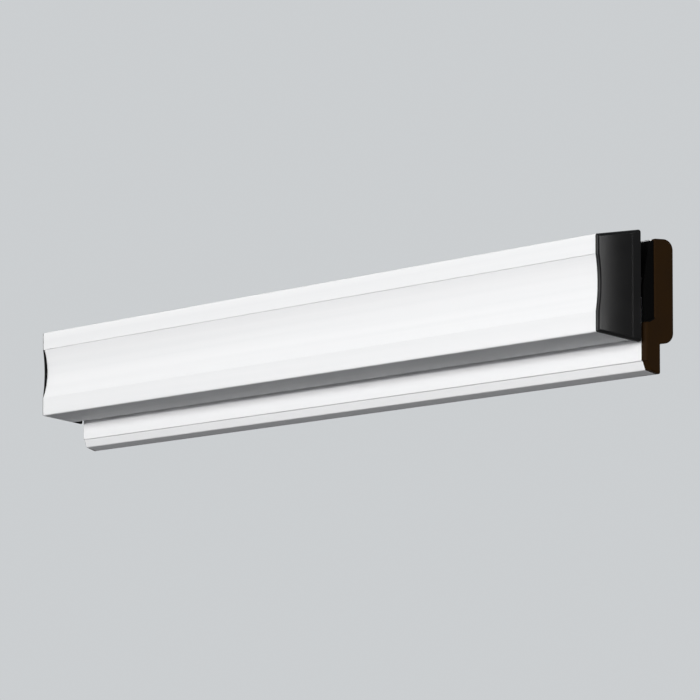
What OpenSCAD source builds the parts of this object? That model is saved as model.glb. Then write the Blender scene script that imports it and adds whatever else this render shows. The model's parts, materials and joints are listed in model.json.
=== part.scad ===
// Document hanging rail: a sprung clamp bar on a magnetic back profile.
// X runs along the rail, Y points into the surface that carries it and Z points up.
// The origin is the middle of the face that the pads rest on.
// Outlines are drawn as [distance from that face, height] and swept along X.

/* [Overall] */
// Length of both aluminium profiles
profile_length = 330; // [310:5:480]
// Thickness of every end cap plate
cap_plate = 1.5; // [1.2:0.1:2.5]
// Length of the plug that each end cap pushes into its profile
plug_length = 6; // [4:0.5:7]
// Wall of the hollow plugs of the front caps
plug_wall = 1.2; // [1:0.1:1.6]
// Clearance of plugs and strips in their slots
fit = 0.1; // [0.05:0.01:0.15]
// Radius on the outer edges of both profiles
edge_r = 0.5; // [0.3:0.05:0.6]

/* [Back profile] */
// Height of the back profile
back_h = 29; // [28.5:0.5:33]
// Distance from the pads' resting face to the front of the back profile
back_d = 6.5; // [6.3:0.1:7.5]
// Wall of the back profile
back_wall = 1.2; // [1:0.05:1.4]
// Outer radius of its two corners on the resting side
back_r = 3; // [2:0.1:3.6]
// Width of the two lips beside the magnet channel
lip_w = 3.2; // [3:0.1:3.6]

/* [Jaw] */
// Thickness of the jaw from front to back
jaw_t = 5.3; // [5:0.1:5.8]
// How far the jaw's top stands above the head of the grip strip
jaw_over = 0.5; // [0.4:0.1:0.8]
// How far the jaw's face reaches below the back profile
jaw_drop = 7.5; // [6.5:0.1:10]
// How much lower the jaw's rear bottom edge is than its front one
jaw_slope = 1.2; // [0.6:0.1:1.8]
// Height of the lip along the jaw's bottom
jaw_lip_h = 2.4; // [1.8:0.1:3]
// How far that lip is set back from the jaw's face
jaw_lip_in = 0.4; // [0.2:0.05:0.6]
// How much further back the bottom of that lip is than its top
jaw_lip_slant = 0.8; // [0.4:0.1:1]
// Wall in front of the jaw's hollow
jaw_wall = 1.3; // [1.1:0.1:1.5]

/* [Front bar] */
// Free gap between the back profile and the front bar
gap = 4; // [3.9:0.1:4.6]
// Depth of the front bar
bar_d = 14.5; // [13.5:0.1:17]
// Height of its front face
bar_face_h = 27.1; // [26.5:0.1:29]
// Height of that face's middle above the middle of the back profile
bar_face_z = 1.35; // [1:0.05:1.7]
// Rise of the bar's top from front to rear
bar_top_rise = 2; // [1.6:0.1:2.6]
// Drop of the bar's underside from front to rear
bar_bottom_drop = 2.3; // [2:0.1:2.6]
// Depth of the lead-in to the slot behind the bar
lead_d = 3.5; // [3:0.1:4]
// How far the lead-in lifts the bar's rear bottom edge
lead_h = 1.5; // [1.2:0.1:1.8]
// Wall of the front bar
bar_wall = 1.5; // [1.3:0.05:1.7]
// Height of the flat lip above the cove
top_lip_h = 5.5; // [5:0.1:7]
// Height of the flat lip below the cove
bottom_lip_h = 5.8; // [5:0.1:7]
// Depth of the cove in the front face
cove_depth = 1.5; // [1.2:0.1:2]
// Step under the upper lip where the cove starts
cove_step = 0.35; // [0.2:0.05:0.5]
// Depth of the shallower cove in the front end caps
cap_cove = 0.6; // [0.3:0.1:1]

/* [Hinge] */
// Diameter of the hinge rod
rod_d = 3; // [2.8:0.1:3.2]
// Radial clearance of the rod in the front bar's knuckle
rod_run = 0.05; // [0.02:0.01:0.08]
// Radial clearance of the rod in the brackets
rod_grip = 0.02; // [0.01:0.01:0.03]
// Wall of the knuckle round the rod
knuckle_wall = 1.15; // [1:0.05:1.2]
// Air between the knuckle and the back profile
knuckle_air = 0.3; // [0.25:0.05:0.4]
// Height of the hinge rod above the middle of the back profile
pivot_z = 1; // [0.6:0.1:1.4]
// Thickness of the head of a plug that closes an end of the knuckle
knuckle_head_t = 1; // [0.8:0.1:1.4]
// Length of that plug's pin in the knuckle's bore
knuckle_pin_l = 3; // [2:0.5:3.5]
// Angle through which the front bar opens
open_angle = 12; // [8:0.5:12]
// Width of one hinge bracket
bracket_w = 12; // [9:0.5:14]
// Thickness of a bracket's foot
bracket_t = 1.5; // [1.2:0.1:1.7]
// Distance from an end of the profile to its outer bracket
bracket_end = 17; // [12:0.5:20]
// Air beside and round each bracket in the front bar's notch
notch_air = 0.4; // [0.3:0.05:0.6]

/* [End of the hinge gap] */
// How far the ear of a back cap lies inside the cap's outer face
ear_in = 0.4; // [0.3:0.05:0.5]
// Air between that ear and the end of the front bar
ear_slip = 0.2; // [0.15:0.05:0.25]
// Air left between the opened bar and the ear or the liner of a back cap
ear_air = 0.3; // [0.25:0.05:0.4]
// Length of the liner along the front of the back profile
liner_l = 9; // [6:0.5:10]

/* [Rivets] */
// Diameter of a rivet's shank
rivet_d = 2.4; // [2:0.1:2.6]
// Diameter of a rivet's head
rivet_head_d = 4; // [3.8:0.1:4.4]
// Height of a rivet's head
rivet_head_h = 0.7; // [0.5:0.05:0.8]
// Diameter of a rivet's upset tail
rivet_tail_d = 3.4; // [3:0.1:3.6]
// Length of that tail
rivet_tail_h = 1.4; // [1:0.1:1.6]
// Margin left round a rivet's head
rivet_edge = 0.4; // [0.3:0.05:0.5]
// Radial clearance of a rivet in its holes
rivet_fit = 0.05; // [0.03:0.01:0.08]

/* [Springs and stops] */
// Width of a leaf spring
spring_w = 14; // [12:0.5:18]
// Thickness of the spring steel
spring_t = 0.4; // [0.3:0.05:0.5]
// Distance between the two rivets of a spring
spring_rivets_w = 7; // [6:0.5:8]
// Height of the spring's crest below the top of the back profile
spring_crest_drop = 2; // [1.8:0.1:2.6]
// Air between a spring's crest and the front bar
spring_air = 0.1; // [0.05:0.01:0.15]
// Length of an opening stop along the rail
stop_l = 20; // [10:1:30]
// Height of an opening stop
stop_h = 3.4; // [2.5:0.1:3.6]
// Air left between a stop and the opened bar
stop_air = 0.05; // [0.03:0.01:0.1]

/* [Magnets] */
// Length of a magnet along the rail
magnet_l = 40; // [24:1:42]
// Air between a magnet and each of the lips above and below it
magnet_air = 0.8; // [0.2:0.1:1.5]
// Thickness of the steel yoke behind a magnet
yoke_t = 1.5; // [1.2:0.1:1.7]
// Thickness of a pad
pad_t = 0.8; // [0.6:0.05:1]
// How far the pads stand out behind the back profile
pad_proud = 0.3; // [0.2:0.05:0.4]

/* [Grip strip] */
// Height of the strip's head
strip_head_h = 2.4; // [2.2:0.1:2.6]
// How far the head stands out behind the front bar
strip_proud = 0.4; // [0.3:0.05:0.5]
// Height of the slot's mouth
slot_mouth_h = 1.8; // [1.6:0.1:2]
// Height of the slot behind its mouth
slot_foot_h = 2.6; // [2.4:0.1:2.8]
// Depth of the slot's mouth
slot_mouth_d = 1; // [0.8:0.1:1.2]
// Depth of the slot behind its mouth
slot_foot_d = 1.4; // [1.2:0.1:1.6]
// Height of the slot's floor above the bar's rear bottom edge
slot_floor = 1.2; // [1.1:0.1:1.4]
// Rest gap between the strip and the jaw's face
jaw_gap = 0.1; // [0.05:0.01:0.2]

/* [Hidden] */

// Fineness of true circles
$fn = 48;
// Points on the cove's arc, and points on a rounded corner for each millimetre of radius
COVE_STEPS = 20;
STEPS_PER_MM = 4;
// Overshoot of a cut past the face that it opens
OVER = 1;

// Colours
ALUMINIUM = "#e9e9ea";
BLACK_PLASTIC = "#1f1d1c";
STEEL = "#b4b6b8";
SPRING_STEEL = "#9aa0a6";
FERRITE = "#3a3a3c";
RUBBER = "#262626";
FOAM = "#4a4a4a";

// Ends of the profiles and the planes of the section
end_x = profile_length / 2;
top_z = back_h / 2;
ear_top = top_z - edge_r - fit;
web_rear = back_d - back_wall;
bar_rear = back_d + gap;
bar_front = bar_rear + bar_d;
bar_face_top = bar_face_z + bar_face_h / 2;
bar_face_bottom = bar_face_z - bar_face_h / 2;

// Hinge
rod_r = rod_d / 2;
knuckle_r = rod_r + rod_run + knuckle_wall;
hub_r = knuckle_r - fit;
pivot_d = back_d + knuckle_air + knuckle_r;

// Height of the magnets and pads, which sit between the lips
magnet_h = back_h - 2 * (lip_w + magnet_air);

// Grip slot at the rear bottom edge of the front bar
rear_edge_z = underside_z(bar_rear) + lead_h;
slot_z = rear_edge_z + slot_floor + slot_foot_h / 2;
slot_end = bar_rear + slot_mouth_d + slot_foot_d;

// Jaw
jaw_face = bar_rear - strip_proud - jaw_gap;
jaw_rear = jaw_face - jaw_t;
jaw_top_z = slot_z + strip_head_h / 2 + jaw_over;
jaw_front_z = -top_z - jaw_drop;

// Places along the rail: magnets on the even stations, brackets and springs on the odd ones
station = (end_x - bracket_end) / 5;
bracket_x = [for (i = [-5, -1, 1, 5]) i * station];
spring_x = [for (i = [-3, 3]) i * station];
magnet_x = [for (i = [-4:2:4]) i * station];

// Rivet places as [x, z]
rivet_off = hub_r + rivet_head_d / 2 + rivet_edge;
bracket_rivet_at = [for (x = bracket_x) for (side = [-1, 1]) [x, pivot_z + side * rivet_off]];
foot_z = pivot_z + knuckle_r + rivet_head_d / 2 + rivet_edge;
spring_rivet_at = [for (x = spring_x) for (side = [-1, 1]) [x + side * spring_rivets_w / 2, foot_z]];

// Height of the bar's top and underside at distance d from the resting face
function topside_z(d) = bar_face_top + (bar_front - d) * bar_top_rise / bar_d;
function underside_z(d) = bar_face_bottom - (bar_front - d) * bar_bottom_drop / bar_d;
// Distance from the resting face of the opened bar's rear side at height z
function opened_rear(z) =
    let (ahead = bar_rear - pivot_d)
    let (above = (z - pivot_z - ahead * sin(open_angle)) / cos(open_angle))
    pivot_d + ahead * cos(open_angle) - above * sin(open_angle);

// Outline tools
function unit(v) = v / norm(v);
function turn(a) = (a + 540) % 360 - 180;
function arc(c, r, a0, sweep, steps) =
    [for (i = [0:steps]) let (a = a0 + sweep * i / steps) c + r * [cos(a), sin(a)]];
function corner(before, at, after, r) =
    let (u = unit(before - at))
    let (v = unit(after - at))
    let (half = acos(u * v) / 2)
    let (c = at + unit(u + v) * r / sin(half))
    let (from = at + u * r / tan(half) - c)
    let (to = at + v * r / tan(half) - c)
    let (a0 = atan2(from[1], from[0]))
    let (steps = max(4, ceil(r * STEPS_PER_MM)))
    r > 0 ? arc(c, r, a0, turn(atan2(to[1], to[0]) - a0), steps) : [at];
// Rounds a closed outline given as [d, z, radius] rows
function rounded(rows) =
    let (n = len(rows))
    let (at = [for (p = rows) [p[0], p[1]]])
    [for (i = [0:n - 1]) each corner(at[(i + n - 1) % n], at[i], at[(i + 1) % n], rows[i][2])];
// Normal of an open line at point i, long enough for a mitred corner
function mitre(line, i) =
    let (a = unit(line[max(i, 1)] - line[max(i, 1) - 1]))
    let (b = unit(line[min(i, len(line) - 2) + 1] - line[min(i, len(line) - 2)]))
    let (m = unit([-a[1] - b[1], a[0] + b[0]]))
    m / (m * [-a[1], a[0]]);
// Outline of a strip of thickness t along an open line
function strip(line, t) = concat(
    [for (i = [0:len(line) - 1]) line[i] + mitre(line, i) * t / 2],
    [for (i = [len(line) - 1:-1:0]) line[i] - mitre(line, i) * t / 2]
);

// Sweeps an outline along X from x0 to x1
module along_x(x0, x1) {
    translate([x1, 0, 0])
        rotate([90, 0, -90])
            linear_extrude(x1 - x0)
                children();
}

// Round bar along X at distance d and height z
module rod_x(x0, x1, d, z, r) {
    translate([x0, -d, z])
        rotate([0, 90, 0])
            cylinder(h = x1 - x0, r = r);
}

// Round bar across the section from distance d0 to d1
module across(x, z, d0, d1, r) {
    translate([x, -d0, z])
        rotate([90, 0, 0])
            cylinder(h = d1 - d0, r = r);
}

// Block from distance d0 to d1
module block(x0, x1, d0, d1, z0, z1) {
    translate([x0, -d1, z0])
        cube([x1 - x0, d1 - d0, z1 - z0]);
}

// Outer outline of the back profile with its jaw
module back_outline() {
    polygon(rounded([
        [pad_proud, top_z, back_r],
        [pad_proud, -top_z, back_r],
        [jaw_rear, -top_z, edge_r],
        [jaw_rear, jaw_front_z - jaw_slope, edge_r],
        [jaw_face - jaw_lip_in - jaw_lip_slant, jaw_front_z, edge_r],
        [jaw_face - jaw_lip_in, jaw_front_z + jaw_lip_h, 0],
        [jaw_face, jaw_front_z + jaw_lip_h + jaw_lip_in / 2, 0],
        [jaw_face, jaw_top_z, edge_r],
        [back_d, jaw_top_z + jaw_wall, edge_r],
        [back_d, top_z, edge_r]
    ]));
}

// Channel for the magnets, shrunk by air for the plug that closes its end
module channel_outline(air) {
    wall = back_wall + air;
    inner_r = max(back_r - wall, 0.3);
    polygon(rounded([
        [pad_proud + wall, top_z - wall, inner_r],
        [pad_proud + wall, -top_z + wall, inner_r],
        [back_d - wall, -top_z + wall, 0.3],
        [back_d - wall, top_z - wall, 0.3]
    ]));
}

// Hollow of the jaw, shrunk by air for the plug that closes its end
module jaw_hollow_outline(air) {
    polygon(rounded([
        [back_d + air, jaw_top_z - jaw_wall - air, 0.3],
        [back_d + air, jaw_front_z + jaw_wall / 2 + air, 0.3],
        [jaw_face - jaw_lip_in - jaw_wall - air, jaw_front_z + jaw_wall + air, 0.3],
        [jaw_face - jaw_lip_in - jaw_wall - air, jaw_top_z - jaw_wall - air, 0.3]
    ]));
}

module back_profile() {
    color(ALUMINIUM)
        difference() {
            along_x(-end_x, end_x)
                difference() {
                    back_outline();
                    channel_outline(0);
                    jaw_hollow_outline(0);
                    translate([0, -top_z + lip_w])
                        square([pad_proud + back_wall + OVER, back_h - 2 * lip_w]);
                }
            for (p = concat(bracket_rivet_at, spring_rivet_at))
                across(p[0], p[1], web_rear - OVER, back_d + OVER, rivet_d / 2 + rivet_fit);
        }
}

// Ear that closes the end of the hinge gap, leaning back where the opened bar comes near
module ear_outline() {
    ear_low = jaw_top_z - 2 * edge_r;
    polygon(rounded([
        [web_rear, ear_top, 0],
        [opened_rear(ear_top) - ear_air, ear_top, 0.3],
        [jaw_face, pivot_z, 0],
        [jaw_face, ear_low, 0],
        [web_rear, ear_low, 0]
    ]));
}

// Liner behind the ear, as thick as the opened bar leaves room for
module liner_outline() {
    liner_low = pivot_z + knuckle_r + ear_air;
    translate([back_d, liner_low])
        square([opened_rear(ear_top) - ear_air - back_d, ear_top - liner_low]);
}

// Back cap for the right end; the left one mirrors it
module back_cap() {
    color(BLACK_PLASTIC)
        union() {
            along_x(end_x, end_x + cap_plate)
                back_outline();
            along_x(end_x + ear_slip, end_x + cap_plate - ear_in)
                ear_outline();
            along_x(end_x - liner_l, end_x + cap_plate / 2)
                liner_outline();
            along_x(end_x - plug_length, end_x + cap_plate / 2)
                channel_outline(fit);
            along_x(end_x - plug_length, end_x + cap_plate / 2)
                jaw_hollow_outline(fit);
        }
}

module back_cap_left() {
    mirror([1, 0, 0])
        back_cap();
}

module back_cap_right() {
    back_cap();
}

module hinge_rod() {
    rod_end = end_x - knuckle_head_t - knuckle_pin_l - fit;
    color(STEEL)
        rod_x(-rod_end, rod_end, pivot_d, pivot_z, rod_r);
}

// Hinge bracket: a riveted foot, and a hub that carries the rod
module hinge_bracket(x) {
    foot_half = rivet_off + rivet_head_d / 2 + rivet_edge;
    color(BLACK_PLASTIC)
        difference() {
            union() {
                along_x(x - bracket_w / 2, x + bracket_w / 2)
                    polygon(rounded([
                        [back_d, pivot_z + foot_half, 0],
                        [back_d, pivot_z - foot_half, 0],
                        [back_d + bracket_t, pivot_z - foot_half, 0.4],
                        [back_d + bracket_t, pivot_z - hub_r, 0],
                        [pivot_d, pivot_z - hub_r, 0],
                        [pivot_d, pivot_z + hub_r, 0],
                        [back_d + bracket_t, pivot_z + hub_r, 0],
                        [back_d + bracket_t, pivot_z + foot_half, 0.4]
                    ]));
                rod_x(x - bracket_w / 2, x + bracket_w / 2, pivot_d, pivot_z, hub_r);
            }
            rod_x(x - bracket_w / 2 - OVER, x + bracket_w / 2 + OVER, pivot_d, pivot_z,
                rod_r + rod_grip);
            for (side = [-1, 1])
                across(x, pivot_z + side * rivet_off, back_d - OVER, back_d + bracket_t + OVER,
                    rivet_d / 2 + rivet_fit);
        }
}

// Blind rivet whose head sits on a plate of thickness t in front of the web
module rivet(x, z, t) {
    face = back_d + t;
    union() {
        across(x, z, web_rear - OVER / 2, face + rivet_head_h / 2, rivet_d / 2);
        across(x, z, web_rear - rivet_tail_h, web_rear, rivet_tail_d / 2);
        translate([x, -face, z])
            rotate([90, 0, 0])
                rotate_extrude()
                    rivet_head_outline();
    }
}

// Half section of a domed rivet head
module rivet_head_outline() {
    head_r = rivet_head_d / 2;
    rim = 0.2;
    dome = rivet_head_h - rim;
    dome_r = (head_r * head_r + dome * dome) / (2 * dome);
    intersection() {
        square([head_r, rivet_head_h]);
        translate([0, rivet_head_h - dome_r])
            circle(r = dome_r, $fn = 96);
    }
}

module bracket_rivets() {
    color(STEEL)
        for (p = bracket_rivet_at)
            rivet(p[0], p[1], bracket_t);
}

module spring_rivets() {
    color(STEEL)
        for (p = spring_rivet_at)
            rivet(p[0], p[1], spring_t);
}

// Leaf spring: a riveted foot, an arm and a crest that presses on the front bar
module leaf_spring(x) {
    half_t = spring_t / 2;
    crest_z = top_z - spring_crest_drop;
    crest_d = bar_rear - spring_air - half_t;
    foot_d = back_d + half_t;
    bend_z = foot_z + rivet_head_d / 2 + rivet_edge;
    line = [
        [foot_d, foot_z - rivet_head_d / 2 - rivet_edge / 2],
        [foot_d, bend_z],
        [crest_d - 0.5, crest_z - 0.8],
        [crest_d, crest_z],
        [crest_d - 0.4, crest_z + 0.7],
        [crest_d - 1.6, top_z - 0.4]
    ];
    color(SPRING_STEEL)
        difference() {
            along_x(x - spring_w / 2, x + spring_w / 2)
                polygon(strip(line, spring_t));
            for (side = [-1, 1])
                across(x + side * spring_rivets_w / 2, foot_z, back_d - OVER, back_d + spring_t + OVER,
                    rivet_d / 2 + rivet_fit);
        }
}

// Opening stop, as thick as the opened bar leaves room for
module opening_stop(x) {
    color(RUBBER)
        block(x - stop_l / 2, x + stop_l / 2, back_d, opened_rear(ear_top) - stop_air,
            ear_top - stop_h, ear_top);
}

module opening_stop_left() {
    opening_stop(magnet_x[0]);
}

module opening_stop_right() {
    opening_stop(magnet_x[4]);
}

module magnet(x) {
    color(FERRITE)
        block(x - magnet_l / 2, x + magnet_l / 2, pad_t, web_rear - yoke_t,
            -magnet_h / 2, magnet_h / 2);
}

// Steel yoke, held in the channel behind the lips
module magnet_yoke(x) {
    half_h = top_z - back_wall - fit;
    color(STEEL)
        block(x - magnet_l / 2, x + magnet_l / 2, web_rear - yoke_t, web_rear, -half_h, half_h);
}

module magnet_pad(x) {
    color(FOAM)
        block(x - magnet_l / 2, x + magnet_l / 2, 0, pad_t, -magnet_h / 2, magnet_h / 2);
}

// Outer outline of the front bar, with a cove of the given depth and step, and its lead-in if lead is set
module bar_outline(depth, step, lead) {
    // The cove's arc hangs on the chord from the step under the upper lip to the lower lip
    high = [bar_front - step, bar_face_top - top_lip_h];
    low = [bar_front, bar_face_bottom + bottom_lip_h];
    half = norm(high - low) / 2;
    sag = depth - step / 2;
    cove_r = (half * half + sag * sag) / (2 * sag);
    outwards = unit([high[1] - low[1], low[0] - high[0]]);
    centre = (high + low) / 2 + outwards * (cove_r - sag);
    from = atan2(high[1] - centre[1], high[0] - centre[0]);
    sweep = 2 * asin(half / cove_r);
    difference() {
        polygon(rounded(concat(
            [[bar_rear, topside_z(bar_rear), edge_r]],
            lead ? [[bar_rear, rear_edge_z, 0.3], [bar_rear + lead_d, underside_z(bar_rear + lead_d), 1]]
                : [[bar_rear, underside_z(bar_rear), edge_r]],
            [[bar_front, underside_z(bar_front), edge_r], [bar_front, topside_z(bar_front), edge_r]]
        )));
        polygon(concat(
            arc(centre, cove_r, from, sweep, COVE_STEPS),
            [[bar_front + OVER, low[1]], [bar_front + OVER, high[1]]]
        ));
    }
}

// Hollow of the front bar, shrunk by air for the plug that closes its end
module bar_hollow_outline(air) {
    front = bar_front - cove_depth - bar_wall - air;
    rear = bar_rear + bar_wall + air;
    ledge_front = slot_end + bar_wall * 0.8 + air;
    ledge_top = slot_z + slot_foot_h / 2 + bar_wall * 0.8 + air;
    polygon(rounded([
        [rear, topside_z(rear) - bar_wall - air, 0.5],
        [rear, ledge_top, 0.5],
        [ledge_front, ledge_top, 0.5],
        [ledge_front, underside_z(ledge_front) + bar_wall + air, 0.5],
        [front, underside_z(front) + bar_wall + air, 0.5],
        [front, topside_z(front) - bar_wall - air, 0.5]
    ]));
}

// Slot for the grip strip, opening to the rear
module slot_outline() {
    translate([bar_rear - OVER, slot_z - slot_mouth_h / 2])
        square([slot_mouth_d + 2 * OVER, slot_mouth_h]);
    translate([bar_rear + slot_mouth_d, slot_z - slot_foot_h / 2])
        square([slot_foot_d, slot_foot_h]);
}

module front_bar() {
    notch_half = hub_r + notch_air;
    color(ALUMINIUM)
        difference() {
            union() {
                along_x(-end_x, end_x)
                    difference() {
                        bar_outline(cove_depth, cove_step, true);
                        bar_hollow_outline(0);
                        slot_outline();
                    }
                rod_x(-end_x, end_x, pivot_d, pivot_z, knuckle_r);
            }
            rod_x(-end_x - OVER, end_x + OVER, pivot_d, pivot_z, rod_r + rod_run);
            rod_x(-end_x - OVER, -end_x + knuckle_head_t, pivot_d, pivot_z, knuckle_r + fit);
            rod_x(end_x - knuckle_head_t, end_x + OVER, pivot_d, pivot_z, knuckle_r + fit);
            for (x = bracket_x)
                block(x - bracket_w / 2 - notch_air, x + bracket_w / 2 + notch_air,
                    back_d, bar_rear + bar_wall + OVER, pivot_z - notch_half, pivot_z + notch_half);
        }
}

// Front cap for the right end; the left one mirrors it
module front_cap() {
    rear_air = max(pivot_d + knuckle_r - bar_rear - bar_wall, 0) + fit;
    color(BLACK_PLASTIC)
        union() {
            along_x(end_x, end_x + cap_plate)
                bar_outline(cap_cove, 0, false);
            along_x(end_x - plug_length, end_x + cap_plate / 2)
                difference() {
                    intersection() {
                        bar_hollow_outline(fit);
                        translate([bar_rear + bar_wall + rear_air, -back_h])
                            square([bar_d, 2 * back_h]);
                    }
                    intersection() {
                        bar_hollow_outline(fit + plug_wall);
                        translate([bar_rear + bar_wall + rear_air + plug_wall, -back_h])
                            square([bar_d, 2 * back_h]);
                    }
                }
        }
}

module front_cap_left() {
    mirror([1, 0, 0])
        front_cap();
}

module front_cap_right() {
    front_cap();
}

// Plug that closes the knuckle's right end and keeps the rod in; the left one mirrors it
module knuckle_plug() {
    color(BLACK_PLASTIC)
        union() {
            rod_x(end_x - knuckle_head_t, end_x, pivot_d, pivot_z, knuckle_r);
            rod_x(end_x - knuckle_head_t - knuckle_pin_l, end_x - knuckle_head_t / 2, pivot_d, pivot_z, rod_r);
        }
}

module knuckle_plug_left() {
    mirror([1, 0, 0])
        knuckle_plug();
}

module knuckle_plug_right() {
    knuckle_plug();
}

// Rubber strip in the front bar's slot, which presses on the jaw's face
module grip_strip() {
    head_half = strip_head_h / 2;
    neck_half = slot_mouth_h / 2 - fit / 2;
    foot_half = slot_foot_h / 2 - fit / 2;
    foot_start = bar_rear + slot_mouth_d;
    head = bar_rear - strip_proud;
    color(RUBBER)
        along_x(-end_x, end_x)
            polygon(rounded([
                [head, slot_z + head_half, 0.2],
                [head, slot_z - head_half, 0.2],
                [bar_rear, slot_z - head_half, 0],
                [bar_rear, slot_z - neck_half, 0],
                [foot_start, slot_z - neck_half, 0],
                [foot_start, slot_z - foot_half, 0],
                [slot_end - fit / 2, slot_z - foot_half, 0.2],
                [slot_end - fit / 2, slot_z + foot_half, 0.2],
                [foot_start, slot_z + foot_half, 0],
                [foot_start, slot_z + neck_half, 0],
                [bar_rear, slot_z + neck_half, 0],
                [bar_rear, slot_z + head_half, 0]
            ]));
}

back_profile();
back_cap_left();
back_cap_right();
hinge_rod();
hinge_bracket(bracket_x[0]);  // hinge_bracket_1
hinge_bracket(bracket_x[1]);  // hinge_bracket_2
hinge_bracket(bracket_x[2]);  // hinge_bracket_3
hinge_bracket(bracket_x[3]);  // hinge_bracket_4
bracket_rivets();
leaf_spring(spring_x[0]);  // leaf_spring_left
leaf_spring(spring_x[1]);  // leaf_spring_right
spring_rivets();
opening_stop_left();
opening_stop_right();
magnet(magnet_x[0]);  // magnet_1
magnet(magnet_x[1]);  // magnet_2
magnet(magnet_x[2]);  // magnet_3
magnet(magnet_x[3]);  // magnet_4
magnet(magnet_x[4]);  // magnet_5
magnet_yoke(magnet_x[0]);  // magnet_yoke_1
magnet_yoke(magnet_x[1]);  // magnet_yoke_2
magnet_yoke(magnet_x[2]);  // magnet_yoke_3
magnet_yoke(magnet_x[3]);  // magnet_yoke_4
magnet_yoke(magnet_x[4]);  // magnet_yoke_5
magnet_pad(magnet_x[0]);  // magnet_pad_1
magnet_pad(magnet_x[1]);  // magnet_pad_2
magnet_pad(magnet_x[2]);  // magnet_pad_3
magnet_pad(magnet_x[3]);  // magnet_pad_4
magnet_pad(magnet_x[4]);  // magnet_pad_5
front_bar();
front_cap_left();
front_cap_right();
knuckle_plug_left();
knuckle_plug_right();
grip_strip();
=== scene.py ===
"""Looks of the document hanging rail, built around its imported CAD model.

Everything is in metres in the rail's own frame: X along the rail, Y from its front to its
resting face, Z up. Each piece takes its place and size from the CAD node that it stands for.
"""

import json
import math

import bmesh
import bpy
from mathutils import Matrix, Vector

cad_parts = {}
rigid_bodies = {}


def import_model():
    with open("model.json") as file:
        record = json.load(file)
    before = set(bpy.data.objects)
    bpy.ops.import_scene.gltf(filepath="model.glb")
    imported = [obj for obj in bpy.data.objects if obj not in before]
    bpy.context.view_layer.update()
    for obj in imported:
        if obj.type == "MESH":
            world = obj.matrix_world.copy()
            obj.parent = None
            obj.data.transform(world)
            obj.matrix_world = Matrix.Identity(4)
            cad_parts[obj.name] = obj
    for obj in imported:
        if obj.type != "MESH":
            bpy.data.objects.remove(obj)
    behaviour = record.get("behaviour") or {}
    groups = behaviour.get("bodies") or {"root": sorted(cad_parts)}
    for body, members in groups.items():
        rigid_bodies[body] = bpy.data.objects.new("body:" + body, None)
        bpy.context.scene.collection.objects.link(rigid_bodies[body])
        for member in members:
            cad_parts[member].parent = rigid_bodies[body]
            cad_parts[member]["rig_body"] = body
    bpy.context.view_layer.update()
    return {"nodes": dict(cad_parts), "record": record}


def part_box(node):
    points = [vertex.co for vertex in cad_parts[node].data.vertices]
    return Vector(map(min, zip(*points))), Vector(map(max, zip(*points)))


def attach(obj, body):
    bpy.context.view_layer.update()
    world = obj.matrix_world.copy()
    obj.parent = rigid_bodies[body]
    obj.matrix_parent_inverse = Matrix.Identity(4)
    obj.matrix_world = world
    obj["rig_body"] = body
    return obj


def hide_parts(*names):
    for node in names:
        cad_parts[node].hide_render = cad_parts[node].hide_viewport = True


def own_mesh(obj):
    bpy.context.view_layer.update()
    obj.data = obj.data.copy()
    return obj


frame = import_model()

MM = 0.001

# Camera: the photograph's standpoint, aimed at the rail with a longer lens
CAMERA_AT = Vector((1.387, -0.824, -0.1535))
AIM_AT = Vector((0.0045, -0.0085, -0.0035))
SENSOR_MM = 36
LENS_MM = 275
CLIP_START = 0.05
CLIP_END = 40

# Stage: the floor's height, width and grid, the background that the camera sees, and the light of the world
FLOOR_Z = -0.26
FLOOR_SIZE = 14.0
FLOOR_CELLS = 8
BACKGROUND = (0.60, 0.62, 0.635, 1)
WORLD_LIGHT = 0.04
# The floor's colour as it is seen, and as it lights the rail
FLOOR_COLOUR = (0.80, 0.82, 0.835, 1)
FLOOR_BOUNCE = (0.03, 0.03, 0.035, 1)
# Distances from the rail between which the floor fades into the background
FADE_FROM = 0.25
FADE_TO = 0.9

# Soft lamps aimed at the rail: name, place, width, height and watts
LAMPS = (
    ("key", (0.9, -2.2, 0.36), 1.4, 0.5, 42),
    ("fill", (-1.3, -2.0, 0.36), 1.4, 0.5, 13),
    ("low", (0.1, -2.3, 0.0), 1.6, 0.2, 6),
    ("side", (2.1, 0.4, 0.2), 0.35, 0.5, 20),
    ("rear", (-0.5, 2.2, 0.8), 1.6, 1.0, 36),
    ("top", (0, -0.2, 2.2), 1.6, 1.2, 12),
)

# Noise values between which a texture goes from one end of its range to the other
NOISE_LOW = 0.3
NOISE_HIGH = 0.7
NOISE_ROUGHNESS = 0.55
# Places of the two colours among the inputs of a Mix node, and of their mixture among its outputs
MIX_FIRST = 6
MIX_SECOND = 7
MIX_RESULT = 2

# Place along Y of the back profile's front, on which the brackets stand
BACK_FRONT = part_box("hinge_bracket_1")[1][1]

# Distance within which two vertices are one, and the depth within which a face lies at a mesh's end
WELD = 0.001 * MM
END_DEPTH = 0.01 * MM
# Faces that turn by less than this, in degrees, are one flat face
FLAT_TURN = 0.5
# Share of X in the normal of a face that looks along the rail
ALONG_X = 0.99
# Outline edges shorter than this belong to a rounded corner
SIDE_MIN = 0.42 * MM
# Steps of a bend in an open line, and the share of a neighbouring stretch that it may take
BEND_STEPS = 6
BEND_SHARE = 0.45

# Edges that turn by more than this, in degrees, are rounded
SHARP_TURN = 40
# A profile's creases between faces wider than CREASE_FACE are rounded from this turn on
CREASE_TURN = 12
CREASE_FACE = 0.5 * MM
PROFILE_EDGE = 0.12 * MM
# Edge radius of the plainer pieces by slot, and of those whose slot isn't listed
EDGES = {
    "bracket_plastic": 0.25 * MM,
    "rod_steel": 0.3 * MM,
    "yoke_steel": 0.2 * MM,
    "ferrite": 0.3 * MM,
    "rubber": 0.3 * MM,
    "pad_rubber": 0.25 * MM,
}
PLAIN_EDGE = 0.12 * MM

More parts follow.
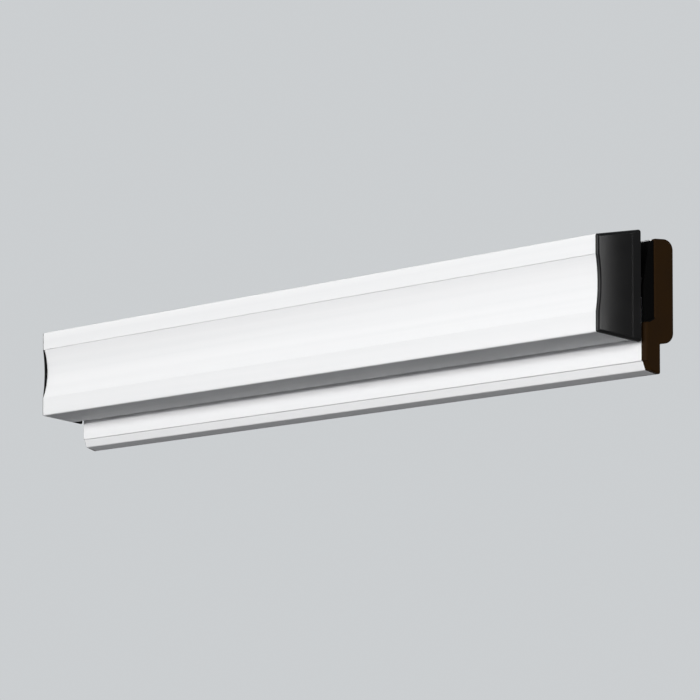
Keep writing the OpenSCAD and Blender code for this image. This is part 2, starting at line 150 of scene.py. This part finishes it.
# All caps: steps of the outer edge's rounding, and the radius of the other edges
CAP_STEPS = 8
CAP_EDGE = 0.1 * MM
# Front caps: depth, outer rounding, its share at the cap's rear edge, and how near to that edge it holds
FRONT_CAP_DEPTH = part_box("front_cap_left")[1][1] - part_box("front_cap_left")[0][1]
FRONT_CAP_ROUND = 0.8 * MM
REAR_SHARE = 0.25
REAR_REACH = 0.5 * MM
# Crown across a front cap's outer face, and the number and distance of the cuts that follow it
FRONT_CAP_CROWN = 0.6 * MM
CROWN_CUTS = 13
CROWN_STEP = 1 * MM
# Upright groove in that face: distance behind its front, half width, depth, and cuts across each half
GROOVE_AT = 11.2 * MM
GROOVE_HALF = 0.35 * MM
GROOVE_DEPTH = 0.16 * MM
GROOVE_CUTS = 5
# Back caps: outer rounding, and the height at which the ear begins, just above the jaw
BACK_CAP_ROUND = 0.35 * MM
EAR_LOW = -8.75 * MM
# The front of a cap's plate below that height draws back by this much for each step outwards
CAP_TAPER = 0.6
# Distance from the resting face beyond which a vertex belongs to that front
CAP_FRONT = 8 * MM

# Leaf springs: radius of the bends, distance between sections, corners of tip and foot, and edge radius
SPRING_BEND = 1.2 * MM
SPRING_STEP = 0.25 * MM
SPRING_TIP = 2.0 * MM
SPRING_FOOT = 0.8 * MM
SPRING_EDGE = 0.06 * MM

# Faces round a blind rivet
RIVET_SIDES = 32
# Mandrel's stub: radius, the share of it that the flat end takes, and the depths of that end and of the
# shoulder below the top of the head
PIN_RADIUS = 0.52 * MM
PIN_FLAT = 0.7
PIN_TOP = 0.16 * MM
PIN_SHOULDER = 0.22 * MM
# Hole round the stub: radius, depth, and the width and depth of its sloping rim
HOLE_RADIUS = 0.62 * MM
HOLE_DEPTH = 0.35 * MM
HOLE_RIM = 0.08 * MM
HOLE_RIM_DEPTH = 0.06 * MM
# Domed head: height, height of its rim, chamfer of that rim, steps, and how late the dome falls off
HEAD_HEIGHT = 0.7 * MM
HEAD_RIM = 0.18 * MM
HEAD_CHAMFER = 0.04 * MM
DOME_STEPS = 8
DOME_POWER = 2.2
# Shank and upset tail: radii and length, then the tail's bulge and its rounded end
SHANK_RADIUS = 1.2 * MM
TAIL_RADIUS = 1.7 * MM
TAIL_LENGTH = 1.4 * MM
BULGE_FROM = 0.02 * MM
BULGE_LENGTH = 0.85 * MM
BULGE_STEPS = 8
BULGE_POWER = 0.7
TAIL_END_RADIUS = 0.95 * MM
TAIL_END_LENGTH = 0.5 * MM
TAIL_END_STEPS = 6

# Grip strip: ribs across the face that presses on the jaw, their depth, and steps across each
RIBS = 4
RIB_DEPTH = 0.14 * MM
RIB_STEPS = 8


def make_camera():
    """The scene's camera."""
    data = bpy.data.cameras.new("camera")
    data.sensor_width = SENSOR_MM
    data.lens = LENS_MM
    data.clip_start = CLIP_START
    data.clip_end = CLIP_END
    camera = bpy.data.objects.new("camera", data)
    camera.location = CAMERA_AT
    camera.rotation_mode = "QUATERNION"
    camera.rotation_quaternion = (AIM_AT - CAMERA_AT).to_track_quat("-Z", "Y")
    bpy.context.scene.collection.objects.link(camera)
    bpy.context.scene.camera = camera


# Node helpers for materials

class Nodes:
    """A node tree that is filled with short calls."""

    def __init__(self, tree):
        self.tree = tree
        tree.nodes.clear()

    def add(self, kind, inputs=None, **settings):
        node = self.tree.nodes.new(kind)
        for name, value in settings.items():
            setattr(node, name, value)
        for name, value in (inputs or {}).items():
            self.set(node, name, value)
        return node

    def set(self, node, name, value):
        socket = node.inputs[name]
        if isinstance(value, bpy.types.NodeSocket):
            self.tree.links.new(value, socket)
        else:
            socket.default_value = value

    def combine(self, operation, first, second):
        """The result of a Math node on two numbers."""
        return self.add("ShaderNodeMath", {0: first, 1: second}, operation=operation).outputs[0]

    def ramp(self, value, low, high):
        """A colour that goes from low to high across the middle of the noise's range."""
        node = self.add("ShaderNodeValToRGB", {"Fac": value})
        ends = node.color_ramp.elements
        ends[0].position = NOISE_LOW
        ends[0].color = (*low, 1)
        ends[1].position = NOISE_HIGH
        ends[1].color = (*high, 1)
        return node.outputs["Color"]

    def spread(self, value, low, high, low_at=NOISE_LOW, high_at=NOISE_HIGH):
        """A number between low and high as value goes from low_at to high_at."""
        inputs = {"Value": value, "From Min": low_at, "From Max": high_at, "To Min": low, "To Max": high}
        return self.add("ShaderNodeMapRange", inputs).outputs["Result"]

    def noise(self, per_metre, detail):
        """Noise with that many grains to a metre along X, Y and Z."""
        place = self.add("ShaderNodeTexCoord").outputs["Object"]
        scaled = self.add("ShaderNodeMapping", {"Vector": place, "Scale": per_metre})
        inputs = {"Vector": scaled.outputs["Vector"], "Scale": 1.0, "Detail": detail,
                  "Roughness": NOISE_ROUGHNESS}
        return self.add("ShaderNodeTexNoise", inputs).outputs["Fac"]

    def grain(self, per_metre, detail):
        """Noise whose grains have one size in all directions."""
        return self.noise((per_metre, per_metre, per_metre), detail)

    def cells(self, per_metre):
        """Voronoi cells, that many to a metre."""
        place = self.add("ShaderNodeTexCoord").outputs["Object"]
        return self.add("ShaderNodeTexVoronoi", {"Vector": place, "Scale": per_metre}).outputs["Distance"]

    def bump(self, height, depth, strength):
        inputs = {"Height": height, "Distance": depth, "Strength": strength}
        return self.add("ShaderNodeBump", inputs).outputs["Normal"]


def material(name, build, **surface):
    """A material whose shader has the fixed values in surface and the textures that build makes."""
    made = bpy.data.materials.new(name)
    made.use_nodes = True
    nodes = Nodes(made.node_tree)
    shader = nodes.add("ShaderNodeBsdfPrincipled")
    for socket, value in surface.items():
        shader.inputs[socket.replace("_", " ")].default_value = value
    for socket, value in build(nodes).items():
        nodes.set(shader, socket, value)
    nodes.add("ShaderNodeOutputMaterial", {"Surface": shader.outputs["BSDF"]})
    return made


# Materials

def aluminium_look(nodes):
    """Clear anodised extrusion: fine die lines along the rail and faint broader streaks."""
    lines = nodes.noise((4, 2600, 2600), detail=2)
    streaks = nodes.noise((1.5, 260, 260), detail=3)
    clouds = nodes.noise((25, 60, 60), detail=2)
    return {"Base Color": nodes.ramp(streaks, low=(0.845, 0.85, 0.855), high=(0.895, 0.895, 0.90)),
            "Roughness": nodes.spread(clouds, low=0.58, high=0.64),
            "Normal": nodes.bump(lines, depth=0.004 * MM, strength=0.5)}


def moulded_look(low, high, rough_low, rough_high, grain_depth=0.03 * MM):
    """Spark-textured plastic with a slight cloudiness."""
    def build(nodes):
        grain = nodes.grain(3200, detail=2)
        clouds = nodes.grain(120, detail=3)
        return {"Base Color": nodes.ramp(clouds, low, high),
                "Roughness": nodes.spread(clouds, rough_low, rough_high),
                "Normal": nodes.bump(grain, grain_depth, strength=0.6)}
    return build


def rubber_look(nodes):
    """Matt rubber with a fine grain."""
    grain = nodes.grain(1800, detail=3)
    return {"Base Color": nodes.ramp(grain, low=(0.012, 0.012, 0.012), high=(0.026, 0.026, 0.026)),
            "Roughness": nodes.spread(grain, low=0.72, high=0.86, low_at=0.0, high_at=1.0),
            "Normal": nodes.bump(grain, depth=0.02 * MM, strength=0.6)}


def foam_look(nodes):
    """Cellular rubber with small open pores."""
    pores = nodes.cells(1500)
    clouds = nodes.grain(90, detail=3)
    return {"Base Color": nodes.ramp(clouds, low=(0.040, 0.041, 0.043), high=(0.062, 0.063, 0.066)),
            "Roughness": nodes.spread(clouds, low=0.80, high=0.92, low_at=0.0, high_at=1.0),
            "Normal": nodes.bump(pores, depth=0.10 * MM, strength=0.8)}


def ferrite_look(nodes):
    """Sintered ferrite with a coarse grain."""
    grain = nodes.grain(900, detail=4)
    return {"Base Color": nodes.ramp(grain, low=(0.030, 0.030, 0.033), high=(0.060, 0.060, 0.065)),
            "Roughness": nodes.spread(grain, low=0.45, high=0.62, low_at=0.0, high_at=1.0),
            "Normal": nodes.bump(grain, depth=0.03 * MM, strength=0.5)}


def plated_look(low, high, rough_low, rough_high):
    """Zinc-plated steel with soft blotches and a fine grain."""
    def build(nodes):
        blotches = nodes.grain(400, detail=3)
        grain = nodes.grain(3000, detail=1)
        return {"Base Color": nodes.ramp(blotches, low, high),
                "Roughness": nodes.spread(blotches, rough_low, rough_high),
                "Normal": nodes.bump(grain, depth=0.01 * MM, strength=0.4)}
    return build


def spring_look(nodes):
    """Tempered strip: rolling lines across its width and a blue-grey temper colour."""
    lines = nodes.noise((2400, 60, 60), detail=2)
    clouds = nodes.grain(160, detail=2)
    return {"Base Color": nodes.ramp(clouds, low=(0.20, 0.23, 0.29), high=(0.36, 0.36, 0.37)),
            "Roughness": nodes.spread(lines, low=0.24, high=0.36),
            "Normal": nodes.bump(lines, depth=0.01 * MM, strength=0.4)}


def ground_look(nodes):
    """Ground rod: fine lines round it."""
    lines = nodes.noise((5200, 40, 40), detail=2)
    return {"Base Color": nodes.ramp(lines, low=(0.52, 0.53, 0.54), high=(0.64, 0.65, 0.66)),
            "Roughness": nodes.spread(lines, low=0.18, high=0.30),
            "Normal": nodes.bump(lines, depth=0.006 * MM, strength=0.4)}


def make_materials():
    """The material of each slot, and two more for the back caps: their own plastic, and a near-black copy
    painted as the hinge gap's shade.
    """
    front_cap_look = moulded_look(
        low=(0.0035, 0.0033, 0.0035), high=(0.005, 0.0048, 0.005), rough_low=0.28, rough_high=0.33,
        grain_depth=0.012 * MM)
    # Back caps: brown-black plastic whose warm brown is partly its own colour and partly painted warm
    # reflected light
    back_cap_look = moulded_look(
        low=(0.0150, 0.0064, 0.0010), high=(0.0190, 0.0084, 0.0015), rough_low=0.50, rough_high=0.58)
    # Ear and liner: a darker, duller copy of the back cap plastic, painted shade for the hinge gap
    gap_shade_look = moulded_look(
        low=(0.0015, 0.0015, 0.0015), high=(0.002, 0.002, 0.002), rough_low=0.7, rough_high=0.8)
    bracket_look = moulded_look(
        low=(0.024, 0.024, 0.025), high=(0.034, 0.034, 0.035), rough_low=0.42, rough_high=0.52)
    rivet_look = plated_look(
        low=(0.48, 0.49, 0.50), high=(0.62, 0.63, 0.64), rough_low=0.28, rough_high=0.38)
    yoke_look = plated_look(
        low=(0.42, 0.43, 0.44), high=(0.58, 0.59, 0.60), rough_low=0.30, rough_high=0.44)
    return {
        "aluminium": material("anodised aluminium", aluminium_look, Metallic=0.05),
        "cap_plastic": material("cap plastic", front_cap_look, Specular_IOR_Level=0.1),
        "back_cap_plastic": material("back cap plastic", back_cap_look, Specular_IOR_Level=0.03),
        "gap_shade_plastic": material("ear plastic darkened as painted gap shade", gap_shade_look, Specular_IOR_Level=0.02),
        "bracket_plastic": material("bracket plastic", bracket_look),
        "rod_steel": material("ground steel", ground_look, Metallic=1.0),
        "rivet_steel": material("rivet steel", rivet_look, Metallic=1.0),
        "spring_steel": material("spring steel", spring_look, Metallic=1.0),
        "yoke_steel": material("yoke steel", yoke_look, Metallic=1.0),
        "ferrite": material("ferrite", ferrite_look),
        "rubber": material("rubber", rubber_look),
        "pad_rubber": material("pad rubber", foam_look),
    }


# Outlines, as lists of (Y, Z) vectors

def cross(a, b):
    """The cross product of two plane vectors."""
    return a.x * b.y - a.y * b.x


def turned(v, angle):
    """The vector turned by that angle."""
    c, s = math.cos(angle), math.sin(angle)
    return Vector((v.x * c - v.y * s, v.x * s + v.y * c))


def inset_outline(points, inset, share):
    """The closed outline moved inwards, point for point, with its rounded corners kept round.

    Each side moves by inset times share(the side's middle).
    """
    count = len(points)
    edges = [points[(i + 1) % count] - points[i] for i in range(count)]
    sides = [i for i in range(count) if edges[i].length > SIDE_MIN]
    area = sum(cross(points[i], points[(i + 1) % count]) for i in range(count))
    inwards = 1 if area > 0 else -1
    moved = [None] * count
    for i, j in zip(sides, sides[1:] + sides[:1]):
        inset_i = inset * share(points[i] + edges[i] / 2)
        inset_j = inset * share(points[j] + edges[j] / 2)
        # The points from the end of side i to the start of side j make one corner
        corner = [(i + 1 + n) % count for n in range((j - i - 1) % count + 1)]
        along, onward = edges[i].normalized(), edges[j].normalized()
        to_side = Vector((-along.y, along.x)) * inwards
        to_next = Vector((-onward.y, onward.x)) * inwards
        turn = math.atan2(cross(along, onward), along.dot(onward))
        start, end = points[corner[0]], points[corner[-1]]
        old_reach = cross(end - start, onward) / cross(along, onward)
        reach = cross(end + to_next * inset_j - start - to_side * inset_i, onward) / cross(along, onward)
        tip = start + to_side * inset_i + along * reach
        radius = 0.0
        if len(corner) > 1:
            radius = old_reach / math.tan(abs(turn) / 2)
            mean = (inset_i + inset_j) / 2
            radius = max(radius - mean, 0.0) if turn * inwards > 0 else radius + mean
        tangent = tip - along * radius * math.tan(abs(turn) / 2)
        to_centre = to_side * (radius if turn * inwards > 0 else -radius)
        for n, k in enumerate(corner):
            turned_by = turn * n / max(len(corner) - 1, 1)
            moved[k] = tangent + to_centre - turned(to_centre, turned_by)
    return moved


def rounded_line(points, radius):
    """The open line with a smooth bend at each corner."""
    line = [points[0]]
    for before, at, after in zip(points, points[1:], points[2:]):
        back, ahead = before - at, after - at
        half = back.angle(ahead) / 2
        reach = min(radius / math.tan(half), BEND_SHARE * back.length, BEND_SHARE * ahead.length)
        start, end = at + back.normalized() * reach, at + ahead.normalized() * reach
        for k in range(BEND_STEPS + 1):
            t = k / BEND_STEPS
            line.append(start * (1 - t) ** 2 + at * 2 * t * (1 - t) + end * t ** 2)
    return line + [points[-1]]


def resampled(line, step):
    """The open line as points about one step apart."""
    lengths = [0.0]
    for a, b in zip(line, line[1:]):
        lengths.append(lengths[-1] + (b - a).length)
    count = max(2, round(lengths[-1] / step))
    points = []
    k = 0
    for n in range(count + 1):
        at = lengths[-1] * n / count
        while k < len(line) - 2 and lengths[k + 1] < at:
            k += 1
        share = (at - lengths[k]) / (lengths[k + 1] - lengths[k])
        points.append(line[k].lerp(line[k + 1], share))
    return points


# Mesh helpers

def cad_mesh(node):
    """The CAD node's mesh as a bmesh, welded, with its flat faces whole."""
    bm = bmesh.new()
    bm.from_mesh(frame["nodes"][node].data)
    bmesh.ops.remove_doubles(bm, verts=bm.verts, dist=WELD)
    bmesh.ops.dissolve_limit(bm, angle_limit=math.radians(FLAT_TURN), verts=bm.verts, edges=bm.edges)
    return bm


def end_face(bm, side):
    """The widest face that looks along X at the mesh's far end on that side, 1 or -1."""
    far = max(v.co.x * side for v in bm.verts)
    faces = [f for f in bm.faces
             if abs(f.normal.x) > ALONG_X and abs(f.verts[0].co.x * side - far) < END_DEPTH]
    return max(faces, key=lambda f: f.calc_area())


def outline_of(face):
    """The corners of a face that looks along X, as (Y, Z) vectors."""
    return [v.co.yz for v in face.verts]


def is_sharp(edge):
    """Whether the edge turns by enough to be rounded."""
    return edge.calc_face_angle() > math.radians(SHARP_TURN)


def break_edges(bm, width, segments=3, chosen=is_sharp):
    """Rounds the chosen edges."""
    edges = [e for e in bm.edges if len(e.link_faces) == 2 and chosen(e)]
    bmesh.ops.bevel(bm, geom=edges, offset=width, segments=segments, profile=0.5,
                    affect="EDGES", clamp_overlap=True)


def bridge(bm, ring, following):
    """Faces between two closed rings of as many vertices."""
    count = len(ring)
    for i in range(count):
        bm.faces.new((ring[i], ring[(i + 1) % count], following[(i + 1) % count], following[i]))


def sweep(bm, rings):
    """A closed solid through the rings of coordinates."""
    made = [[bm.verts.new(p) for p in ring] for ring in rings]
    for ring, following in zip(made, made[1:]):
        bridge(bm, ring, following)
    bm.faces.new(made[0])
    bm.faces.new(made[-1])
    bmesh.ops.recalc_face_normals(bm, faces=bm.faces)


def lathe(bm, outline, centre):
    """Turns a half section of (radius, Y) pairs about the line along Y through the (X, Z) centre."""
    rings = []
    for r, y in outline:
        ring = []
        for k in range(RIVET_SIDES):
            angle = 2 * math.pi * k / RIVET_SIDES
            ring.append(bm.verts.new((centre[0] + r * math.cos(angle), y, centre[1] + r * math.sin(angle))))
        rings.append(ring)
    for ring, following in zip(rings, rings[1:]):
        bridge(bm, ring, following)
    bmesh.ops.remove_doubles(bm, verts=[v for ring in rings for v in ring], dist=WELD)


def islands(bm):
    """The separate solids of a mesh, each as a list of vertices."""
    left = set(bm.verts)
    while left:
        found, open_set = set(), {next(iter(left))}
        while open_set:
            vertex = open_set.pop()
            found.add(vertex)
            open_set |= {e.other_vert(vertex) for e in vertex.link_edges} - found
        left -= found
        yield list(found)


def body_of_node(node):
    """The body that the CAD node rides on."""
    return frame["nodes"][node]["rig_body"]


def slot_of_node(node):
    """The material slot that the record gives the CAD node."""
    rows = frame["record"]["subparts"]
    return next(r["material_slot"] for r in rows if r["node"] == node)


def new_piece(name, bm, look, node):
    """Makes the bmesh a piece that stands for a CAD node and rides on its body."""
    mesh = bpy.data.meshes.new(name)
    bmesh.ops.recalc_face_normals(bm, faces=bm.faces)
    bm.to_mesh(mesh)
    bm.free()
    mesh.materials.append(look)
    piece = bpy.data.objects.new(name, mesh)
    bpy.context.scene.collection.objects.link(piece)
    for polygon in mesh.polygons:
        polygon.use_smooth = True
    weighted = piece.modifiers.new("weighted normals", "WEIGHTED_NORMAL")
    weighted.keep_sharp = True
    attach(piece, body_of_node(node))
    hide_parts(node)
    return piece


# Profiles and plainer pieces

def dress(node, look, width):
    """A piece with the CAD node's shape and rounded edges."""
    bm = cad_mesh(node)
    break_edges(bm, width)
    new_piece(node + "_shell", bm, look, node)


def face_width(face):
    """The length of the face's shortest edge."""
    return min(e.calc_length() for e in face.edges)


def is_cut_or_crease(edge):
    """Whether an edge of a profile is a saw cut's or a crease's, and not a drawn corner's."""
    turn = math.degrees(edge.calc_face_angle())
    if turn > SHARP_TURN:
        return True
    return turn > CREASE_TURN and min(face_width(f) for f in edge.link_faces) > CREASE_FACE


def profile(node, look):
    """An extruded profile: its saw cuts and creases are rounded, its drawn corners stay."""
    bm = cad_mesh(node)
    break_edges(bm, PROFILE_EDGE, chosen=is_cut_or_crease)
    new_piece(node + "_shell", bm, look, node)


# Caps

def no_crown(distance):
    """The rise of a flat face."""
    return 0.0


def full_rounding(distance):
    """The share of the rounding where all sides have it in full."""
    return 1.0


def rounded_cap(node, look, radius, crown=no_crown, cuts=(0.0,), share=full_rounding):
    """An end cap whose outer edge is rounded, and whose outer face stands out by crown(d).

    The distance d is measured from the cap's front, and cuts are the distances at which the
    outer face is cut into strips, so that it can follow the crown. The edge's rounding reaches
    into the face by the radius times share(d at the middle of a side).
    """
    side = 1 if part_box(node)[1][0] > 0 else -1
    bm = cad_mesh(node)
    face = end_face(bm, side)
    far = face.verts[0].co.x
    ring = list(face.verts)
    points = outline_of(face)
    front = min(p.x for p in points)
    highest = max(crown(d) for d in cuts)
    base = far - side * (radius + highest)
    bmesh.ops.delete(bm, geom=[face], context="FACES_ONLY")
    for vertex in ring:
        vertex.co.x = base
    for k in range(1, CAP_STEPS + 1):
        angle = math.pi / 2 * k / CAP_STEPS
        out = math.sin(angle)
        inset = radius * (1 - math.cos(angle))
        following = []
        for p in inset_outline(points, inset, lambda middle: share(middle.x - front)):
            rise = radius + (crown(p.x - front) if k < CAP_STEPS else 0.0)
            following.append(bm.verts.new((base + side * out * rise, p.x, p.y)))
        bridge(bm, ring, following)
        ring = following
    strips = {bm.faces.new(ring)}
    bm.normal_update()
    level = base + side * radius
    for d in cuts:
        geom = [*strips, *{e for f in strips for e in f.edges}, *{v for f in strips for v in f.verts}]
        bmesh.ops.bisect_plane(bm, geom=geom, plane_co=(0, front + d, 0), plane_no=(0, 1, 0), dist=WELD)
        strips = {f for f in bm.faces if all(abs(v.co.x - level) < WELD for v in f.verts)}
    for vertex in {v for f in strips for v in f.verts}:
        vertex.co.x += side * crown(vertex.co.y - front)
    bmesh.ops.remove_doubles(bm, verts=bm.verts, dist=WELD)
    break_edges(bm, CAP_EDGE, segments=2)
    return new_piece(node + "_shell", bm, look, node)


def front_cap_crown(distance):
    """Rise of a front cap's face: a crown from front to rear, with an upright groove near the rear."""
    across = 2 * distance / FRONT_CAP_DEPTH - 1
    crown = FRONT_CAP_CROWN * (1 - across * across)
    share = max(1 - abs(distance - GROOVE_AT) / GROOVE_HALF, 0.0)
    return crown - GROOVE_DEPTH * share * share * (3 - 2 * share)


def front_cap_share(distance):
    """Share of the rounding on a side of a front cap: less where the side is the rear edge."""
    return REAR_SHARE if distance > FRONT_CAP_DEPTH - REAR_REACH else 1.0


def front_cap(node, look):
    """A front cap with its crown, its groove and a sharper rear edge."""
    cuts = [CROWN_STEP * n for n in range(1, CROWN_CUTS + 1)]
    cuts += [GROOVE_AT + GROOVE_HALF * n / GROOVE_CUTS for n in range(-GROOVE_CUTS, GROOVE_CUTS + 1)]
    rounded_cap(node, look, FRONT_CAP_ROUND, front_cap_crown, sorted(cuts), front_cap_share)


def back_cap(node, look, gap_shade_look):
    """A back cap whose ear and liner, where it closes the end of the hinge gap, take a near-black copy of
    its plastic painted as the gap's shade.
    """
    piece = rounded_cap(node, look, BACK_CAP_ROUND)
    piece.data.materials.append(gap_shade_look)
    bm = bmesh.new()
    bm.from_mesh(piece.data)
    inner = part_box("back_profile")[1][0]
    for vertex in bm.verts:
        out = abs(vertex.co.x) - inner
        if out > 0 and vertex.co.y < -CAP_FRONT and vertex.co.z < EAR_LOW:
            vertex.co.y += CAP_TAPER * out
    geom = [*bm.verts, *bm.edges, *bm.faces]
    bmesh.ops.bisect_plane(bm, geom=geom, plane_co=(0, 0, EAR_LOW), plane_no=(0, 0, 1), dist=WELD)
    # Faces of the ear and liner in front of the back profile take the painted gap shade
    for face in bm.faces:
        at = face.calc_center_median()
        if at.y < BACK_FRONT - WELD and at.z > EAR_LOW:
            face.material_index = 1
    bm.to_mesh(piece.data)
    bm.free()


# Leaf springs

def corner_cut(distance, radius):
    """How far a corner of that radius draws a strip's edge in, at a distance from the strip's end."""
    if distance >= radius:
        return 0.0
    return radius - math.sqrt(radius * radius - (radius - distance) ** 2)


def leaf_spring(node, look):
    """The spring as one bent strip with smooth bends and rounded corners at its tip."""
    bm = cad_mesh(node)
    points = outline_of(end_face(bm, 1))
    bm.free()
    low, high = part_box(node)
    count = len(points)
    # The lowest edge of the section is the end of the foot
    foot = min(range(count), key=lambda i: points[i].y + points[(i + 1) % count].y)
    thickness = (points[foot] - points[(foot + 1) % count]).length
    middle = []
    for n in range(count // 2):
        middle.append((points[(foot + 1 + n) % count] + points[(foot - n) % count]) / 2)
    line = resampled(rounded_line(middle, SPRING_BEND), SPRING_STEP)
    length = sum((b - a).length for a, b in zip(line, line[1:]))
    centre, half_width = (low[0] + high[0]) / 2, (high[0] - low[0]) / 2
    rings = []
    for n, at in enumerate(line):
        along = (line[min(n + 1, len(line) - 1)] - line[max(n - 1, 0)]).normalized()
        normal = Vector((-along.y, along.x)) * thickness / 2
        done = length * n / (len(line) - 1)
        w = half_width - (corner_cut(done, SPRING_FOOT) + corner_cut(length - done, SPRING_TIP))
        rings.append([(centre + x, *(at + normal * s)) for x, s in ((-w, 1), (w, 1), (w, -1), (-w, -1))])
    bm = bmesh.new()
    sweep(bm, rings)
    break_edges(bm, SPRING_EDGE, segments=2)
    piece = new_piece(node + "_shell", bm, look, node)
    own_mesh(piece)


# Rivets

def rivet_outline(head_radius, front, rear):
    """Half section of a blind rivet as (radius, Y) pairs, from the middle of its head to its tail's."""
    outline = [(0, front + PIN_TOP), (PIN_FLAT * PIN_RADIUS, front + PIN_TOP),
               (PIN_RADIUS, front + PIN_SHOULDER), (PIN_RADIUS, front + HOLE_DEPTH),
               (HOLE_RADIUS, front + HOLE_DEPTH), (HOLE_RADIUS, front + HOLE_RIM_DEPTH)]
    dome_radius = HOLE_RADIUS + HOLE_RIM
    for k in range(DOME_STEPS + 1):
        share = k / DOME_STEPS
        outline.append((dome_radius + (head_radius - dome_radius) * share,
                        front + (HEAD_HEIGHT - HEAD_RIM) * share ** DOME_POWER))
    seat = front + HEAD_HEIGHT
    outline += [(head_radius, seat - HEAD_CHAMFER), (head_radius - HEAD_CHAMFER, seat), (SHANK_RADIUS, seat)]
    tail = rear - TAIL_LENGTH
    outline.append((SHANK_RADIUS, tail))
    for k in range(BULGE_STEPS + 1):
        share = k / BULGE_STEPS
        bulge = math.sin(math.pi * share) ** BULGE_POWER
        outline.append((SHANK_RADIUS + (TAIL_RADIUS - SHANK_RADIUS) * bulge,
                        tail + BULGE_FROM + BULGE_LENGTH * share))
    for k in range(TAIL_END_STEPS + 1):
        angle = math.pi / 2 * k / TAIL_END_STEPS
        outline.append((TAIL_END_RADIUS * math.cos(angle),
                        rear - TAIL_END_LENGTH + TAIL_END_LENGTH * math.sin(angle)))
    return outline


def rivets(node, look):
    """Blind rivets: a domed head with the mandrel's stub in its hole, and an upset tail."""
    source = cad_mesh(node)
    boxes = []
    for verts in islands(source):
        boxes.append([(min(v.co[k] for v in verts), max(v.co[k] for v in verts)) for k in range(3)])
    source.free()
    bm = bmesh.new()
    for (x0, x1), (y0, y1), (z0, z1) in sorted(boxes):
        lathe(bm, rivet_outline((x1 - x0) / 2, y0, y1), ((x0 + x1) / 2, (z0 + z1) / 2))
    new_piece(node + "_shells", bm, look, node)


# Grip strip

def grip_strip(node, look):
    """The rubber strip, with fine ribs along the face that presses on the jaw."""
    bm = cad_mesh(node)
    points = outline_of(end_face(bm, 1))
    bm.free()
    low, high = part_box(node)
    outline = []
    for point, following in zip(points, points[1:] + points[:1]):
        outline.append(point)
        if min(point.x, following.x) > high[1] - WELD:
            for k in range(1, RIBS * RIB_STEPS):
                at = point.lerp(following, k / (RIBS * RIB_STEPS))
                at.x -= RIB_DEPTH * (0.5 - 0.5 * math.cos(2 * math.pi * k / RIB_STEPS))
                outline.append(at)
    bm = bmesh.new()
    sweep(bm, [[(x, *p) for p in outline] for x in (low[0], high[0])])
    new_piece(node + "_shell", bm, look, node)


def make_pieces(looks):
    """A piece for each CAD node."""
    for node in list(frame["nodes"]):
        slot = slot_of_node(node)
        look = looks[slot]
        if node in ("front_bar", "back_profile"):
            profile(node, look)
        elif node.startswith("front_cap"):
            front_cap(node, look)
        elif node.startswith("back_cap"):
            back_cap(node, looks["back_cap_plastic"], looks["gap_shade_plastic"])
        elif node.startswith("leaf_spring"):
            leaf_spring(node, look)
        elif node.endswith("rivets"):
            rivets(node, look)
        elif node == "grip_strip":
            grip_strip(node, look)
        else:
            dress(node, look, EDGES.get(slot, PLAIN_EDGE))


# Stage and light

def seen_by_eye(nodes):
    """1 where the camera sees the stage, mirrored or through glass too, and 0 for the stage's light."""
    path = nodes.add("ShaderNodeLightPath").outputs
    mirrored = nodes.combine("MAXIMUM", path["Is Glossy Ray"], path["Is Transmission Ray"])
    return nodes.combine("MAXIMUM", path["Is Camera Ray"], mirrored)


def floor_material():
    """Pale floor that keeps the rail's shadow and fades into the background further out."""
    made = bpy.data.materials.new("floor")
    made.use_nodes = True
    nodes = Nodes(made.node_tree)
    shown = seen_by_eye(nodes)
    colours = {"Factor": shown, MIX_FIRST: FLOOR_BOUNCE, MIX_SECOND: FLOOR_COLOUR}
    colour = nodes.add("ShaderNodeMix", colours, data_type="RGBA").outputs[MIX_RESULT]
    near = nodes.add("ShaderNodeBsdfDiffuse", {"Color": colour})
    far = nodes.add("ShaderNodeEmission", {"Color": BACKGROUND, "Strength": 1.0})
    place = nodes.add("ShaderNodeTexCoord").outputs["Object"]
    distance = nodes.add("ShaderNodeVectorMath", {0: place}, operation="LENGTH").outputs["Value"]
    fade = nodes.spread(distance, low=0.0, high=1.0, low_at=FADE_FROM, high_at=FADE_TO)
    fade = nodes.combine("MULTIPLY", fade, shown)
    shaders = {0: fade, 1: near.outputs["BSDF"], 2: far.outputs["Emission"]}
    mixed = nodes.add("ShaderNodeMixShader", shaders)
    nodes.add("ShaderNodeOutputMaterial", {"Surface": mixed.outputs["Shader"]})
    return made


def make_world():
    """A world that shows the background and lights the rail with a little white."""
    world = bpy.data.worlds.new("studio")
    world.use_nodes = True
    nodes = Nodes(world.node_tree)
    light = nodes.add("ShaderNodeBackground", {"Color": (1, 1, 1, 1), "Strength": WORLD_LIGHT})
    view = nodes.add("ShaderNodeBackground", {"Color": BACKGROUND, "Strength": 1.0})
    shaders = {0: seen_by_eye(nodes), 1: light.outputs["Background"], 2: view.outputs["Background"]}
    mixed = nodes.add("ShaderNodeMixShader", shaders)
    nodes.add("ShaderNodeOutputWorld", {"Surface": mixed.outputs["Shader"]})
    bpy.context.scene.world = world


def make_floor():
    """The floor, as part of the stage."""
    mesh = bpy.data.meshes.new("floor")
    bm = bmesh.new()
    bmesh.ops.create_grid(bm, x_segments=FLOOR_CELLS, y_segments=FLOOR_CELLS, size=FLOOR_SIZE / 2)
    bm.to_mesh(mesh)
    bm.free()
    floor = bpy.data.objects.new("floor", mesh)
    floor.location = (0, 0, FLOOR_Z)
    bpy.context.scene.collection.objects.link(floor)
    mesh.materials.append(floor_material())


def make_lamp(name, at, width, height, watts):
    """A soft lamp aimed at the rail."""
    data = bpy.data.lights.new(name, "AREA")
    data.shape = "RECTANGLE"
    data.size = width
    data.size_y = height
    data.energy = watts
    lamp = bpy.data.objects.new(name, data)
    lamp.location = at
    lamp.rotation_mode = "QUATERNION"
    lamp.rotation_quaternion = (-Vector(at)).to_track_quat("-Z", "Y")
    bpy.context.scene.collection.objects.link(lamp)


make_camera()
make_world()
make_floor()
for lamp_row in LAMPS:
    make_lamp(*lamp_row)
make_pieces(make_materials())

bpy.context.scene.view_settings.view_transform = "Standard"
